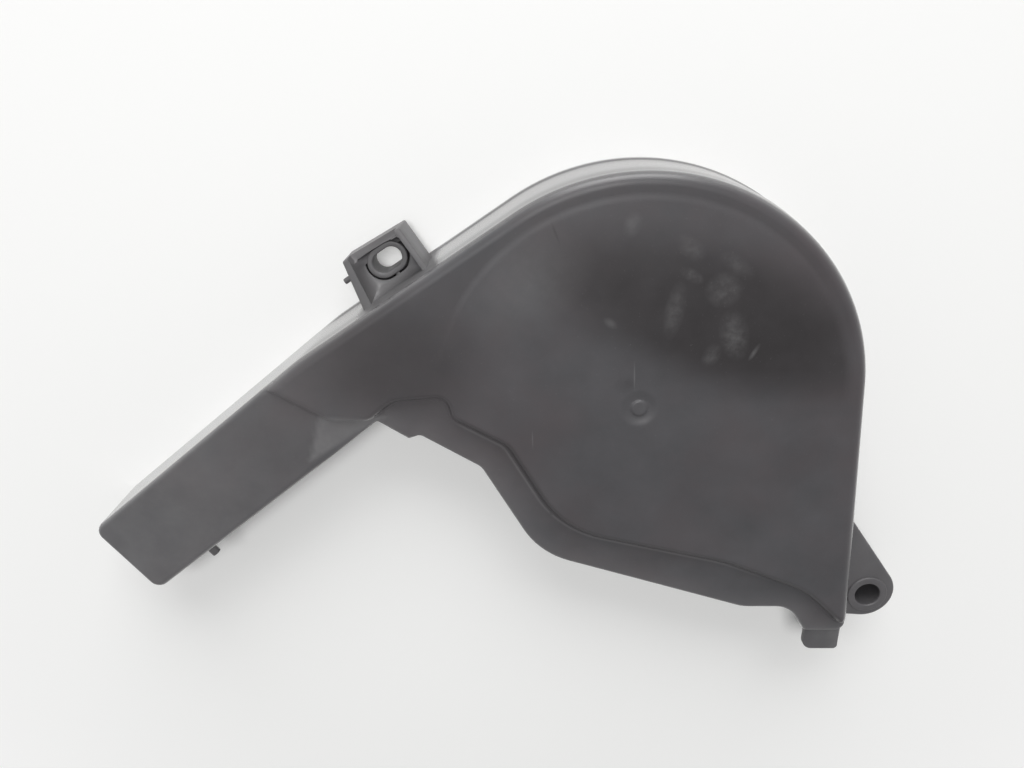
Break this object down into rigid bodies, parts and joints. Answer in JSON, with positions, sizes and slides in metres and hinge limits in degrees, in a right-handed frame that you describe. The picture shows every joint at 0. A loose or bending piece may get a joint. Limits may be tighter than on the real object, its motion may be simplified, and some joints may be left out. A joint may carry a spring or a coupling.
{
  "type": "timing cover",
  "caption": "Moulded upper timing belt cover: round shell over a camshaft sprocket with a closed arm, set-back lower strip, bolt ear and slotted lug, open at the back.",
  "frame": {"origin": "axis of the lower bolt hole, on the plane of the back rim", "axes": "+Z out of the outer face, +X along the longest side from the arm to the ear, +Y from the tab to the round end's top"},
  "size_m": [0.2825, 0.1741, 0.0304],
  "materials": {
    "shell": "fine moulded grain, scuffed"
  },
  "bodies": {
    "root": {"timing_cover": "shell"}
  },
  "joints": []
}
